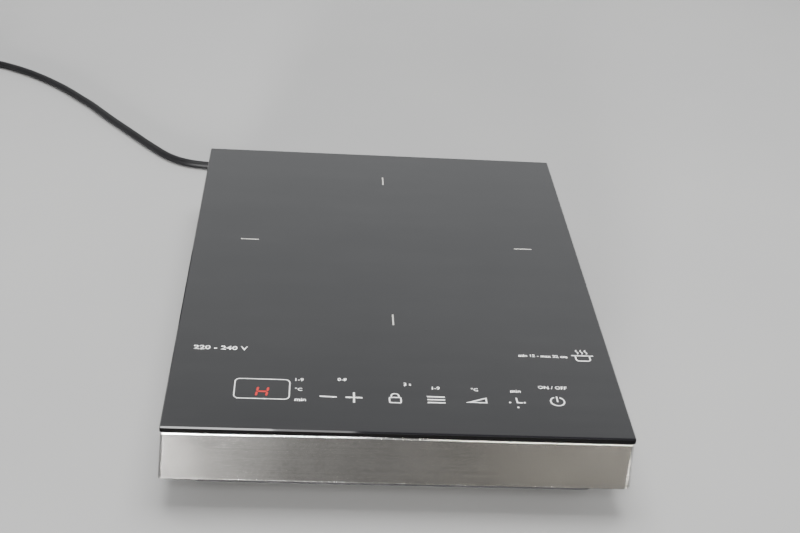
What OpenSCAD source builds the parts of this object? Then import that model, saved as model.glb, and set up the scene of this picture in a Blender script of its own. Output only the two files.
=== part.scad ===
// Portable single-zone electric induction cooktop.
// Origin: centre of the footprint, on the surface that it stands on.
// +X to the user's right, +Y to the back, +Z up. Millimetres.

/* [Body] */
// Overall width, across the glass
body_w = 290; // [288:1:300]
// Overall depth, across the glass
body_d = 380; // [378:1:390]
// Overall height, from the feet to the glass top
body_h = 60; // [60:1:66]

/* [Glass] */
// Thickness of the glass-ceramic top
glass_t = 4; // [4:0.5:5]
// Corner radius of the glass, seen from above
glass_corner_r = 1.2; // [1:0.1:3]
// Width of the polished bevel round the top
glass_bevel = 0.8; // [0.4:0.1:1]
// Thickness of the silicone bead under the glass
seal_t = 0.4; // [0.2:0.1:0.8]

/* [Steel case] */
// Sheet thickness of the case
steel_t = 0.8; // [0.6:0.1:1]
// How far the steel stands back from the glass edge
case_inset = 0.4; // [0:0.1:1]
// How far each wall leans out between its upper and its lower edge
case_draft = 2.2; // [0:0.1:3]
// Outside radius of the bends
case_bend_r = 1.6; // [1.1:0.1:2]
// Height of the steel's lower edge above the table
case_z0 = 20.5; // [18:0.5:21]
// Width of the flanges folded inwards
flange_w = 14; // [12:0.5:15]
// Strip of the case that wraps round each front corner
corner_wrap = 1.6; // [1.5:0.1:4]
// Gap between the fascia and the corners
seam = 0.4; // [0.2:0.1:0.6]

/* [Base] */
// Height of the rubber feet
foot_h = 6; // [5:0.5:8]
// Radius of the rubber feet
foot_r = 10; // [8:0.5:12]
// Wall and floor thickness of the base pan
pan_t = 2.5; // [2:0.1:3]
// Corner radius of the base pan
pan_r = 8; // [5:0.5:12]
// Width of every ventilation slot
slot_w = 3.2; // [2.5:0.1:3.6]

/* [Cooking coil] */
// Distance of the zone's centre behind the middle of the glass
zone_y = 36; // [34:1:38]
// Outer radius of the winding
coil_r = 88; // [84:1:88]
// Diameter of the litz wire
litz_d = 3.2; // [2.8:0.1:3.4]
// Turns of the litz wire
coil_turns = 20; // [16:1:20]
// Number of ferrite bars under the winding
ferrite_count = 6; // [4:1:8]

/* [Fan] */
// Side length of the cooling fan
fan_size = 80; // [80:1:82]
// Depth of the cooling fan
fan_depth = 20; // [20:1:22]
// Number of fan blades
blade_count = 7; // [5:2:9]

/* [Controls] */
// Number of touch keys
key_count = 7; // [5:1:7]
// Distance between touch keys right of the minus key
key_pitch = 25.9; // [24:0.1:26]

/* [Mains cord] */
// Diameter of the mains cord
cord_d = 7; // [6.6:0.1:7.2]
// Distance of the cord's exit to the left of the middle
cord_x = 105; // [95:1:108]

/* [Hidden] */
$fn = 64;
over = 1; // how far cutting tools pass through a wall

// Levels, from the table up
glass_z = body_h - glass_t;
case_z1 = glass_z - seal_t;
case_h = case_z1 - case_z0;
case_w = body_w - 2 * case_inset;
case_d = body_d - 2 * case_inset;
fascia_w = case_w - 2 * (corner_wrap + seam);
pan_z0 = foot_h;
floor_z = pan_z0 + pan_t;
pan_w = case_w - 2 * flange_w - 0.6;
pan_d = case_d - 2 * flange_w - 0.6;
ledge_z0 = case_z0 + steel_t;
ledge_z1 = ledge_z0 + 2.5;
ledge_out = flange_w - 2.8;
pan_z1 = ledge_z1 + 6;
board_z0 = floor_z + 4.5;
board_t = 1.6;
board_z1 = board_z0 + board_t;

// Screws: head radius, head height, shank radius
screw_m3 = [2.8, 1.8, 1.4];
screw_m4 = [3.5, 2.2, 1.9];
screw_gap = 0.05;

// Coil stack, hung below the glass
litz_r = litz_d / 2;
mica_t = 0.6;
mica_z0 = glass_z - 3.6;
former_t = 2;
former_z0 = mica_z0 - litz_d - former_t;
ferrite_h = 4.5;
ferrite_z0 = former_z0 - ferrite_h;
carrier_t = 1.5;
carrier_z0 = ferrite_z0 - carrier_t;
carrier_r = coil_r + 4;
coil_r_in = coil_r - coil_turns * litz_d;
post_ring_r = 100;
post_angles = [-90, 30, 150];

// Temperature sensor in the middle of the coil
sensor_r = 5.95;
guide_bore_r = 6;
guide_r = 9.5;
guide_floor_t = 1.5;
guide_z1 = mica_z0 - 0.8;
sensor_z0 = ferrite_z0 + 5;
sensor_z1 = glass_z - 0.05;

// Power board and fan
board = [-34, -115, 156, 180]; // left, front, width, depth
board_screw_at = [[-29, -110], [117, -110], [-29, 58], [117, 58]];
sink = [-26, -26, 80, 52]; // left, front, length, width of the heat sink
sink_plate_z = board_z1 + 6;
sink_z1 = carrier_z0 - 3.5;
igbt_at = [-6, 0];
bridge_at = [28, 0];
fan_x = -82;
fan_y = 0;
fan_z0 = floor_z + 4;
fan_z1 = fan_z0 + fan_depth;
fan_bore_r = fan_size / 2 - 2;
fan_hole = fan_size / 2 - 4.25;
fan_hub_r = 18.5;
blade_r = fan_bore_r - 1.3;
fan_shaft_r = 1.5;
fan_bore_clearance = 0.05;

// Control board
control = [-112, -172, 222, 48]; // left, front, width, depth
control_z0 = glass_z - 11.6;
control_z1 = control_z0 + board_t;
bracket_t = 2.4;
minus_key_x = -44.3;
plus_key_x = -28.2;
key_y = -155;
display_at = [-86, -149.6];
control_screw_at = [[-107, -167], [105, -167], [-107, -129], [105, -129]];

// Mains cord: it lies on the table behind the cooktop, then winds into a coil
cord_r = cord_d / 2;
cord_z = cord_r + 0.1;
exit_z = 13.5;
relief_len = 35;
exit_y = pan_d / 2;
cord_route = [
    [-cord_x, exit_y + relief_len, exit_z], [-105, 219, 13.2], [-106, 229, 11.5],
    [-109, 239, 8.5], [-114, 249, 5.5], [-122, 257, 4], [-133, 263.5, cord_z],
    [-146, 267, cord_z], [-160, 269, cord_z], [-173, 272, cord_z], [-185, 278, cord_z],
    [-196, 287, cord_z], [-206, 298, cord_z], [-217, 311, cord_z], [-229, 326, cord_z],
    [-242, 342, cord_z], [-255, 358, cord_z], [-268, 375, cord_z], [-281, 392, cord_z],
    [-295, 408, cord_z], [-309, 424, cord_z], [-324, 439, cord_z], [-340, 453, cord_z],
    [-357, 466, cord_z], [-375, 477, cord_z], [-393, 486, cord_z], [-412, 492, cord_z],
    [-432, 495.5, cord_z]];
cord_coil_at = [-452, 454];
cord_coil_r = [35, 42]; // radii of the inner and outer turns
cord_layer = cord_d;
cord_tail = [
    [-494, 452, 10.6], [-494, 440, 11.5], [-494, 428, 14], [-494, 416, 17], [-494, 404, 18.6]];
plug_r = 18.5;
plug_z = 18.6;
plug_y = 404;

// ---------- shared shapes ----------

module rounded_rect(w, d, r) {
    square([w - 2 * r, d], center = true);
    square([w, d - 2 * r], center = true);
    for (x = [-1, 1], y = [-1, 1]) translate([x * (w / 2 - r), y * (d / 2 - r)]) circle(r);
}

module rounded_plate(w, d, r, z0, z1) {
    translate([0, 0, z0]) linear_extrude(z1 - z0) rounded_rect(w, d, r);
}

module rounded_frame(w, d, r, wall, z0, z1) {
    difference() {
        rounded_plate(w, d, r, z0, z1);
        rounded_plate(w - 2 * wall, d - 2 * wall, max(r - wall, 0.4), z0 - over, z1 + over);
    }
}

// Elevation of a plate with bevelled edges: a wide bevel above, a narrow one below
module bevelled(w, h, bevel) {
    low = bevel / 2;
    polygon([[w / 2 - low, 0], [w / 2, low], [w / 2, h - bevel], [w / 2 - bevel, h],
        [bevel - w / 2, h], [-w / 2, h - bevel], [-w / 2, low], [low - w / 2, 0]]);
}

// A slab with round corners in plan and bevelled edges in both elevations
module bevelled_slab(w, d, corner_r, bevel, z0, z1) {
    intersection() {
        rounded_plate(w, d, corner_r, z0, z1);
        translate([0, 0, z0]) rotate([90, 0, 0])
            linear_extrude(d + 2 * over, center = true) bevelled(w, z1 - z0, bevel);
        translate([0, 0, z0]) rotate([90, 0, 90])
            linear_extrude(w + 2 * over, center = true) bevelled(d, z1 - z0, bevel);
    }
}

module box(x0, y0, z0, w, d, h) {
    translate([x0, y0, z0]) cube([w, d, h]);
}

module post(at, r, z0, z1) {
    translate([at[0], at[1], z0]) cylinder(r = r, h = z1 - z0);
}

// A cross-head screw: the underside of its head is at z = 0 and its shank points down
module screw(kind, length) {
    head_r = kind[0];
    head_h = kind[1];
    difference() {
        cylinder(r = head_r, h = head_h);
        for (a = [0, 90]) rotate(a)
            translate([-0.6 * head_r, -0.4, 0.45 * head_h]) cube([1.2 * head_r, 0.8, head_h]);
    }
    translate([0, 0, -length]) cylinder(r = kind[2], h = length);
}

function unit(v) = v / norm(v);
function heading(p, i) = unit(p[min(i + 1, len(p) - 1)] - p[max(i - 1, 0)]);
function ring_at(p, i, r, sides, up) =
    let(t = heading(p, i), a = unit(cross(up, t)), b = cross(t, a))
    [for (k = [0:sides - 1]) p[i] + r * (cos(360 * k / sides) * a + sin(360 * k / sides) * b)];

// A round tube swept along a list of points; up must never lie along the path
module tube(path, r, sides = 8, up = [0, 0, 1]) {
    n = len(path);
    points = [for (i = [0:n - 1]) each ring_at(path, i, r, sides, up)];
    start_cap = [for (k = [0:sides - 1]) k];
    end_cap = [for (k = [sides - 1:-1:0]) (n - 1) * sides + k];
    walls = [for (i = [0:n - 2], k = [0:sides - 1])
        let(a = i * sides + k, b = i * sides + (k + 1) % sides)
        each [[a, a + sides, b], [b, a + sides, b + sides]]];
    polyhedron(points, concat([start_cap, end_cap], walls));
}

function helix(r, z0, z1, turns, steps) =
    [for (i = [0:turns * steps]) [r * cos(360 * i / steps), r * sin(360 * i / steps),
        z0 + (z1 - z0) * i / (turns * steps)]];

// ---------- outside ----------

module glass_top() {
    color("#101013")
        bevelled_slab(body_w, body_d, glass_corner_r, glass_bevel, glass_z, body_h);
}

module glass_seal() {
    color("#1c1c1c")
        rounded_frame(case_w - 4, case_d - 4, 3, 8, case_z1, glass_z);
}

// How far out the walls have leant at this height
function lean_at(z) = case_draft * (case_z1 - z) / case_h;

function arc(centre, r, from, to, steps = 6) =
    [for (i = [0:steps]) let(a = from + (to - from) * i / steps) centre + r * [cos(a), sin(a)]];

// Elevation of the case: leaning walls and rounded bends
module case_elevation(w, inset) {
    r = case_bend_r - inset;
    lean = atan(case_draft / case_h);
    side = w / 2 - inset - r / cos(lean);
    top = [side + lean_at(case_z1 - inset - r), case_z1 - inset - r];
    low = [side + lean_at(case_z0 + inset + r), case_z0 + inset + r];
    right = concat(arc(low, r, -90, lean), arc(top, r, lean, 90));
    polygon(concat(right, [for (i = [len(right) - 1:-1:0]) [-right[i][0], right[i][1]]]));
}

module case_wedge(inset) {
    intersection() {
        rotate([90, 0, 0]) linear_extrude(2 * body_d, center = true) case_elevation(case_w, inset);
        rotate([90, 0, 90]) linear_extrude(2 * body_w, center = true) case_elevation(case_d, inset);
    }
}

// The case with its four upright corners rounded
module case_solid(inset) {
    r = case_bend_r + 0.3 - inset;
    clear = 0.02 - 2 * inset;
    intersection() {
        case_wedge(inset);
        hull() for (z = [case_z0, case_z1]) translate([0, 0, z]) linear_extrude(0.01)
            rounded_rect(case_w + 2 * lean_at(z) + clear, case_d + 2 * lean_at(z) + clear, r, $fn = 32);
    }
}

// The folded sheet of the whole case, before it is split into shell and fascia
module case_sheet() {
    difference() {
        case_solid(0);
        case_solid(steel_t);
        rounded_plate(case_w - 2 * flange_w, case_d - 2 * flange_w, 2, 0, body_h);
    }
}

module fascia_block(gap) {
    half = fascia_w / 2 + gap;
    z0 = case_z0 - over;
    z1 = case_z1 + over;
    depth = case_draft + over + flange_w + gap;
    translate([0, -case_d / 2 + flange_w + gap, 0]) rotate([90, 0, 0]) linear_extrude(depth)
        polygon([[half + lean_at(z1), z1], [half + lean_at(z0), z0],
            [-half - lean_at(z0), z0], [-half - lean_at(z1), z1]]);
}

earth_y = 120;
earth_z = 40;
earth_stud_r = 2;
earth_wall_x = -case_w / 2 - lean_at(earth_z) + steel_t;
shell_screw_x = case_w / 2 - flange_w / 2;
shell_screw_y = case_d / 2 - flange_w / 2;
shell_screw_at = concat(
    [for (s = [-1, 1], y = [-130, 0, 130]) [s * shell_screw_x, y]],
    [for (s = [-1, 1], x = [-75, 75]) [x, s * shell_screw_y]]);

// A tab that backs one end of the fascia
module fascia_tab(side) {
    reach = 2 * steel_t + 2 * seam;
    intersection() {
        translate([side * 2 * seam, 0, 0]) difference() {
            case_wedge(steel_t + seam);
            translate([0, steel_t, 0]) case_wedge(steel_t + seam);
        }
        box(side > 0 ? case_w / 2 - flange_w : -case_w / 2 - case_draft, -case_d / 2 - case_draft,
            case_z0 + 4, flange_w + case_draft, case_draft + reach, case_h - 8);
    }
}

module side_shell() {
    color("#b8b8b2") {
        difference() {
            case_sheet();
            fascia_block(seam);
            for (p = shell_screw_at) post(p, 2.2, case_z0 - over, case_z0 + 2);
            // exhaust slots in the rear wall
            for (i = [-12:12])
                box(30 + 7 * i - slot_w / 2, case_d / 2 - 3, case_z0 + 8, slot_w, 4 + case_draft, 18);
        }
        // stud welded to the inside of the left wall, for the earth wire
        translate([earth_wall_x - 0.3, earth_y, earth_z]) rotate([0, 90, 0])
            cylinder(r = earth_stud_r, h = 5);
        for (side = [-1, 1]) fascia_tab(side);
    }
}

module front_fascia() {
    color("#c2c2bc") difference() {
        intersection() {
            case_sheet();
            fascia_block(0);
        }
        for (p = shell_screw_at) post(p, 2.2, case_z0 - over, case_z0 + 2);
    }
}

foot_at = [for (x = [-1, 1], y = [-1, 1]) [x * (pan_w / 2 - 20), y * (pan_d / 2 - 34)]];
coil_post_at = [for (a = post_angles) [post_ring_r * cos(a), zone_y + post_ring_r * sin(a)]];
fan_hole_at = [for (x = [-1, 1], y = [-1, 1]) [fan_x + x * fan_hole, fan_y + y * fan_hole]];
clamp_y = pan_d / 2 - 22;
clamp_screw_at = [for (s = [-1, 1]) [-cord_x + 11 * s, clamp_y]];

module intake_slots() {
    translate([fan_x, fan_y, 0]) difference() {
        for (r = [9:6:33]) difference() {
            post([0, 0], r + slot_w / 2, pan_z0 - over, floor_z + over);
            post([0, 0], r - slot_w / 2, pan_z0 - 2 * over, floor_z + 2 * over);
        }
        for (a = [0:60:120]) rotate(a) box(-fan_size / 2, -1.5, 0, fan_size, 3, floor_z + 2 * over);
    }
}

module exhaust_slots() {
    for (i = [-12:12]) box(30 + 7 * i - slot_w / 2, pan_d / 2 - 4, floor_z + 1, slot_w, 6, 9);
    for (i = [-12:8], y = [104, 134])
        box(30 + 7 * i - slot_w / 2, y, pan_z0 - over, slot_w, 24, pan_t + 2 * over);
    for (i = [-6:6]) box(pan_w / 2 - 4, 7 * i - slot_w / 2, floor_z + 1, 6, slot_w, 9);
}

module base_pan() {
    ledge_w = pan_w + 2 * ledge_out;
    ledge_d = pan_d + 2 * ledge_out;
    color("#1a1a1c") difference() {
        union() {
            rounded_plate(pan_w, pan_d, pan_r, pan_z0, floor_z);
            rounded_frame(pan_w, pan_d, pan_r, pan_t, pan_z0, pan_z1);
            rounded_frame(ledge_w, ledge_d, pan_r + 2, ledge_out + pan_t, ledge_z0, ledge_z1);
            for (p = shell_screw_at) post(p, 3.8, ledge_z0, ledge_z1 + 5);
            for (p = board_screw_at) post(p, 3.5, floor_z - over, board_z0);
            for (p = fan_hole_at) post(p, 4, floor_z - over, fan_z0);
            for (p = coil_post_at) post(p, 4.5, floor_z - over, carrier_z0);
            for (p = control_screw_at) post(p, 4, floor_z - over, control_z0 - bracket_t);
            for (p = clamp_screw_at) post(p, 3.5, floor_z - over, exit_z);
            for (p = foot_at) post(p, foot_r + 1, floor_z - over, floor_z + 1);
        }
        for (p = shell_screw_at) post(p, screw_m3[2] + screw_gap, ledge_z0 - over, ledge_z1 + 4);
        for (p = board_screw_at) post(p, screw_m3[2] + screw_gap, floor_z, board_z0 + over);
        for (p = fan_hole_at) post(p, screw_m3[2] + screw_gap, pan_z0 + 1, fan_z0 + over);
        for (p = coil_post_at) post(p, screw_m4[2] + screw_gap, carrier_z0 - 10, carrier_z0 + over);
        for (p = control_screw_at) post(p, screw_m3[2] + screw_gap, control_z0 - 12, control_z0);
        for (p = clamp_screw_at) post(p, screw_m3[2] + screw_gap, pan_z0 + 1, exit_z + over);
        for (p = foot_at) post(p, 3.25, pan_z0 - over, floor_z + 2);
        intake_slots();
        exhaust_slots();
        // cord entry
        translate([-cord_x, pan_d / 2 - pan_t - over, exit_z]) rotate([-90, 0, 0])
            cylinder(r = 5.5, h = pan_t + 2 * over);
    }
}

module rubber_feet() {
    color("#2a2a2a") for (p = foot_at) difference() {
        union() {
            translate([p[0], p[1], 0]) cylinder(r1 = foot_r - 1, r2 = foot_r, h = foot_h);
            post(p, 3.2, foot_h - over, floor_z + 1.8);
        }
        post(p, 4, -over, 1.5);
    }
}

module shell_screws() {
    color("#9a9a9a") for (p = shell_screw_at)
        translate([p[0], p[1], case_z0]) mirror([0, 0, 1]) screw(screw_m3, 7);
}

// ---------- power board ----------

module power_board() {
    color("#2f6b3a") difference() {
        box(board[0], board[1], board_z0, board[2], board[3], board_t);
        for (p = board_screw_at) post(p, 1.7, board_z0 - over, board_z1 + over);
        post(coil_post_at[0], 6, board_z0 - over, board_z1 + over);
        // screwdriver access under the two power devices
        for (p = [igbt_at, bridge_at]) post(p, 4, board_z0 - over, board_z1 + over);
    }
}

module board_screws() {
    color("#b0b0b0") for (p = board_screw_at) translate([p[0], p[1], board_z1]) screw(screw_m3, 5.5);
}

module heat_sink() {
    fins = 9;
    fin_t = 1.6;
    plate_t = 4;
    pitch = (sink[3] - fin_t) / (fins - 1);
    color("#b9bcc0") difference() {
        union() {
            box(sink[0], sink[1], sink_plate_z, sink[2], sink[3], plate_t);
            for (i = [0:fins - 1])
                box(sink[0], sink[1] + i * pitch, sink_plate_z, sink[2], fin_t, sink_z1 - sink_plate_z);
            for (y = [sink[1], sink[1] + sink[3] - fin_t])
                box(sink[0], y, board_z1, sink[2], fin_t, 6 + over);
        }
        for (p = [igbt_at, bridge_at])
            post(p, screw_m3[2] + screw_gap, sink_plate_z - over, sink_plate_z + plate_t);
    }
}

// A flat power device screwed under the heat sink, its legs bent down to the board
module power_device(at, w, d, h, legs, leg_pitch) {
    z0 = sink_plate_z - h;
    difference() {
        box(at[0] - w / 2, at[1] - d / 2, z0, w, d, h);
        post(at, 1.7, z0 - over, z0 + h + over);
    }
    for (i = [0:legs - 1]) {
        x = at[0] + (i - (legs - 1) / 2) * leg_pitch - 0.6;
        box(x, at[1] - d / 2 - 3, z0 + h / 2, 1.2, 3.5, 0.8);
        box(x, at[1] - d / 2 - 3, board_z1, 1.2, 0.8, z0 + h / 2 - board_z1 + 0.4);
    }
}

module igbt() {
    color("#26262a") power_device(igbt_at, 15.8, 20.8, 5, 3, 5.4);
}

module bridge_rectifier() {
    color("#303034") power_device(bridge_at, 30, 20, 4.6, 4, 7.5);
}

module heat_sink_screws() {
    color("#b0b0b0") {
        translate([igbt_at[0], igbt_at[1], sink_plate_z - 5]) mirror([0, 0, 1]) screw(screw_m3, 8.5);
        translate([bridge_at[0], bridge_at[1], sink_plate_z - 4.6]) mirror([0, 0, 1]) screw(screw_m3, 8.1);
    }
}

module film_capacitors() {
    color("#d9c04a") {
        box(66, -10, board_z1, 42, 24, 22);
        box(66, -40, board_z1, 42, 22, 22);
        box(20, 44, board_z1, 26, 12, 18);
    }
}

module electrolytic_capacitors() {
    color("#22304a") for (c = [[104, -60, 5, 18], [104, -74, 4, 12], [104, -88, 5, 18]])
        translate([c[0], c[1], board_z1]) difference() {
            cylinder(r = c[2], h = c[3]);
            translate([0, 0, 2]) rotate_extrude() translate([c[2], 0]) circle(0.6);
        }
}

choke_at = [72, 44];
choke_z0 = board_z1 + 1.6;

module choke_core() {
    color("#4b4b50") translate([choke_at[0], choke_at[1], choke_z0]) difference() {
        cylinder(r = 15, h = 11);
        translate([0, 0, -over]) cylinder(r = 8, h = 11 + 2 * over);
    }
}

module choke_winding() {
    wire = 1.2;
    gap = 0.1;
    out = gap + wire;
    color("#b06a35") for (side = [0, 180], i = [-4:4])
        translate([choke_at[0], choke_at[1], choke_z0]) rotate(side + 16 * i) difference() {
            box(8 - out, -wire / 2, -out, 7 + 2 * out, wire, 11 + 2 * out);
            box(8 - gap, -wire, -gap, 7 + 2 * gap, 2 * wire, 11 + 2 * gap);
        }
}

module mains_fuse() {
    color("#c9c6b8") translate([-13, 46, board_z1 + 4.5]) {
        rotate([0, 90, 0]) cylinder(r = 2.5, h = 20, center = true);
        for (s = [-1, 1]) translate([7.5 * s, 0, 0]) {
            rotate([0, 90, 0]) cylinder(r = 2.8, h = 5, center = true);
            box(-1.5, -2, -4.5, 3, 4, 3);
        }
    }
}

module varistor() {
    color("#2f5fa0") translate([10, 56, board_z1 + 9]) {
        rotate([90, 0, 0]) cylinder(r = 6.5, h = 4, center = true);
        for (s = [-1, 1]) box(3.5 * s - 0.4, -0.4, -9, 0.8, 0.8, 5);
    }
}

module supply_transformer() {
    color("#8a6a2c") {
        box(66, -108, board_z1, 20, 16, 3);
        box(69, -106, board_z1 + 2, 14, 12, 12);
        box(67, -103, board_z1 + 3, 18, 6, 10);
    }
}

module buzzer() {
    color("#18181a") difference() {
        post([-18, -98], 6, board_z1, board_z1 + 8);
        post([-18, -98], 1, board_z1 + 4, board_z1 + 9);
    }
}

// White headers: ribbon, fan and sensor
ribbon_plug = [40, -112];
fan_plug = [-29, -38];
sensor_plug = [2, 32];
plug_h = 7;

module header(at, w, d) {
    difference() {
        box(at[0] - w / 2, at[1] - d / 2, board_z1, w, d, plug_h);
        box(at[0] - w / 2 + 1, at[1] - d / 2 + 1, board_z1 + 1.5, w - 2, d - 2, plug_h);
    }
}

module board_connectors() {
    color("#e4e1d6") {
        header(ribbon_plug, 20, 6);
        header(fan_plug, 8, 6);
        header(sensor_plug, 8, 5.5);
    }
}

coil_terminal_at = [[26, -84], [58, -70]];
mains_terminal_at = [[-28, 45], [-24, 54]];

// Two screw posts for the coil and two blade tabs for the mains
module board_terminals() {
    color("#c9a24a") {
        for (p = coil_terminal_at) {
            translate([p[0], p[1], board_z1]) cylinder(r = 4, h = 6, $fn = 6);
            translate([p[0], p[1], board_z1 + 6]) cylinder(r = 3.2, h = 2);
        }
        for (p = mains_terminal_at) box(p[0] - 0.4, p[1] - 3.15, board_z1, 0.8, 6.3, 9);
    }
}

// ---------- fan ----------

module at_fan(z) {
    translate([fan_x, fan_y, z]) children();
}

motor_base_z = fan_z1 - 3;
rotor_z0 = fan_z0 + 1.5;

module fan_frame() {
    color("#202023") at_fan(0) {
        difference() {
            rounded_plate(fan_size, fan_size, 4, fan_z0, fan_z1);
            post([0, 0], fan_bore_r, fan_z0 - over, fan_z1 + over);
            for (x = [-1, 1], y = [-1, 1])
                post([x * fan_hole, y * fan_hole], 1.7, fan_z0 - over, fan_z1 + over);
            // waist between the two flanges, open to the outside at each corner
            for (s = [-1, 1]) {
                box(s > 0 ? fan_size / 2 - 1 : -fan_size / 2 - over, -fan_hole + 7, fan_z0 + 4,
                    1 + over, 2 * fan_hole - 14, fan_depth - 8);
            }
        }
        post([0, 0], 17, motor_base_z, fan_z1);
        for (a = [-36:90:234]) rotate(a) box(16, -1.5, motor_base_z, fan_bore_r - 15.4, 3, 2.5);
        difference() {
            post([0, 0], 4.2, fan_z0 + 5, motor_base_z + over);
            post([0, 0], 3, fan_z0 + 4, motor_base_z);
        }
    }
}

module fan_bearing() {
    color("#b98a4a") at_fan(fan_z0 + 5) difference() {
        cylinder(r = 3, h = fan_depth - 8);
        translate([0, 0, -over]) cylinder(r = fan_shaft_r + fan_bore_clearance, h = fan_depth);
    }
}

module fan_stator() {
    teeth = 4;
    color("#9b5b2e") at_fan(fan_z0 + 7.5) difference() {
        cylinder(r = 12.5, h = 7);
        translate([0, 0, -over]) cylinder(r = 4.25, h = 9);
        for (i = [0:teeth - 1]) rotate(45 + 90 * i) box(6.5, -1.2, -over, 8, 2.4, 9);
    }
}

// One fan blade: a curved sheet, tilted and trimmed to the hub and tip radii
module blade() {
    camber_r = 24;
    sheet_t = 1.3;
    tilt = 130;
    intersection() {
        translate([fan_hub_r - 1.5, 0, 0]) rotate([90, 0, 90]) linear_extrude(blade_r - fan_hub_r + 3)
            intersection() {
                translate([-camber_r * cos(tilt), -camber_r * sin(tilt)]) difference() {
                    circle(camber_r);
                    circle(camber_r - sheet_t);
                }
                square([32, 12], center = true);
            }
        cylinder(r = blade_r, h = 30, center = true);
    }
}

module fan_rotor() {
    color("#2b2b2f") at_fan(rotor_z0) {
        difference() {
            cylinder(r = fan_hub_r, h = 13.5);
            translate([0, 0, 1.8]) cylinder(r = fan_hub_r - 2, h = 13.5);
            translate([0, 0, 0.6]) cylinder(r = fan_shaft_r, h = 3);
        }
        for (i = [0:blade_count - 1]) rotate(360 * i / blade_count) difference() {
            translate([0, 0, 7]) blade();
            translate([0, 0, -over]) cylinder(r = fan_hub_r - 1, h = 20);
        }
    }
}

module fan_magnet() {
    color("#3a3434") at_fan(rotor_z0 + 3) difference() {
        cylinder(r = fan_hub_r - 2, h = 9);
        translate([0, 0, -over]) cylinder(r = fan_hub_r - 4.5, h = 12);
    }
}

module fan_shaft() {
    color("#d5d5d8") at_fan(rotor_z0 + 0.6) cylinder(r = fan_shaft_r, h = motor_base_z - rotor_z0 - 1.2);
}

module fan_screws() {
    color("#9a9a9a") for (p = fan_hole_at) translate([p[0], p[1], fan_z1]) screw(screw_m3, fan_depth + 4);
}

// Two-core lead from the motor base, over the frame and down to its header
module fan_lead() {
    top = fan_z1 + 0.9;
    low = board_z1 + plug_h;
    path = [[10, -7, top], [22, -16, top], [34, -25, top], [43, -31, top], [48, -34, top - 1.5],
        [51.5, -36.5, top - 5], [53, -38, top - 9], [53, -38, low]];
    color("#8a2020") for (s = [-1, 1]) translate([fan_x, fan_y + s, 0]) tube(path, 0.8, 6, [0, 1, 0]);
}

// ---------- cooking coil ----------

module at_zone(z) {
    translate([0, zone_y, z]) children();
}

module coil_carrier() {
    color("#c4c6c8") at_zone(carrier_z0) difference() {
        union() {
            cylinder(r = carrier_r, h = carrier_t);
            for (a = post_angles) rotate(a) {
                box(carrier_r - 10, -9, 0, post_ring_r - carrier_r + 10, 18, carrier_t);
                translate([post_ring_r, 0, 0]) cylinder(r = 9, h = carrier_t);
            }
        }
        for (a = post_angles) rotate(a) translate([post_ring_r, 0, -over]) cylinder(r = 2.2, h = 4);
        translate([0, 0, -over]) cylinder(r = 5, h = 4);
        // lightening slots between the ferrite bars
        for (i = [0:ferrite_count - 1]) rotate(360 * (i + 0.5) / ferrite_count)
            box(36, -1.5, -over, 34, 3, 4);
    }
}

module ferrite_bars() {
    color("#3c3c40") at_zone(ferrite_z0) for (i = [0:ferrite_count - 1])
        rotate(360 * i / ferrite_count) box(28, -7, 0, 56, 14, ferrite_h);
}

module coil_former() {
    color("#d9d4c6") at_zone(former_z0) difference() {
        cylinder(r = coil_r + 2, h = former_t + 2);
        translate([0, 0, former_t]) cylinder(r = coil_r + 0.6, h = 3);
        translate([0, 0, -over]) cylinder(r = guide_r + 0.1, h = 6);
        // slot where the outer end of the winding leaves
        rotate(-50) box(coil_r - 1, -2.4, former_t, 5, 4.8, 4);
    }
}

// The wound litz spiral, drawn as its turns side by side
module coil_winding() {
    color("#a86a3a") at_zone(former_z0 + former_t + litz_r) rotate_extrude() {
        translate([coil_r_in + litz_r, -litz_r / 2]) square([coil_r - coil_r_in - litz_d, litz_r]);
        for (i = [0:coil_turns - 1]) translate([coil_r_in + litz_r + i * litz_d, 0]) circle(litz_r);
    }
}

module mica_sheet() {
    color("#cdbf9a") at_zone(mica_z0) difference() {
        cylinder(r = coil_r, h = mica_t);
        translate([0, 0, -over]) cylinder(r = guide_r + 1.5, h = 3);
    }
}

module coil_screws() {
    color("#b0b0b0") for (p = coil_post_at)
        translate([p[0], p[1], carrier_z0 + carrier_t]) screw(screw_m4, 9);
}

// The outer and inner ends of the winding, led round the carrier to the board
module coil_leads() {
    top = board_z1 + 9.6;
    outer = [for (s = [[88.8, 0], [93, -0.6], [96, -3.5], [96.5, -9], [96.5, -16]])
        [s[0] * cos(-50), zone_y + s[0] * sin(-50), former_z0 + former_t + litz_r + s[1]]];
    inner_z = ferrite_z0 + ferrite_h / 2;
    inner = [for (s = [[36, 0], [60, 0], [90, 0], [95, -0.8], [98.5, -4], [99.5, -10]])
        [s[0] * cos(-75), zone_y + s[0] * sin(-75), inner_z + s[1]]];
    color("#b87a44") {
        tube(concat(outer, [[60, -48, 29], [58, -60, 26.5], [58, -70, top]]), 1.5, 8, [0.64, 0.77, 0]);
        tube(concat(inner, [[26, -70, 29], [26, -78, 26], [26, -84, top]]), 1.5, 8, [1, 0, 0]);
    }
}

// ---------- temperature sensor ----------

module temperature_sensor() {
    color("#e8e2d2") at_zone(0) {
        translate([0, 0, sensor_z0]) cylinder(r = sensor_r, h = sensor_z1 - sensor_z0);
        translate([0, 0, sensor_z1 - 1.5]) cylinder(r = 8, h = 1.5);
    }
}

module sensor_guide() {
    color("#d9d4c6") at_zone(ferrite_z0) difference() {
        cylinder(r = guide_r, h = guide_z1 - ferrite_z0);
        translate([0, 0, guide_floor_t]) cylinder(r = guide_bore_r, h = 20);
        translate([0, 0, -over]) cylinder(r = 2, h = 4);
    }
}

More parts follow.
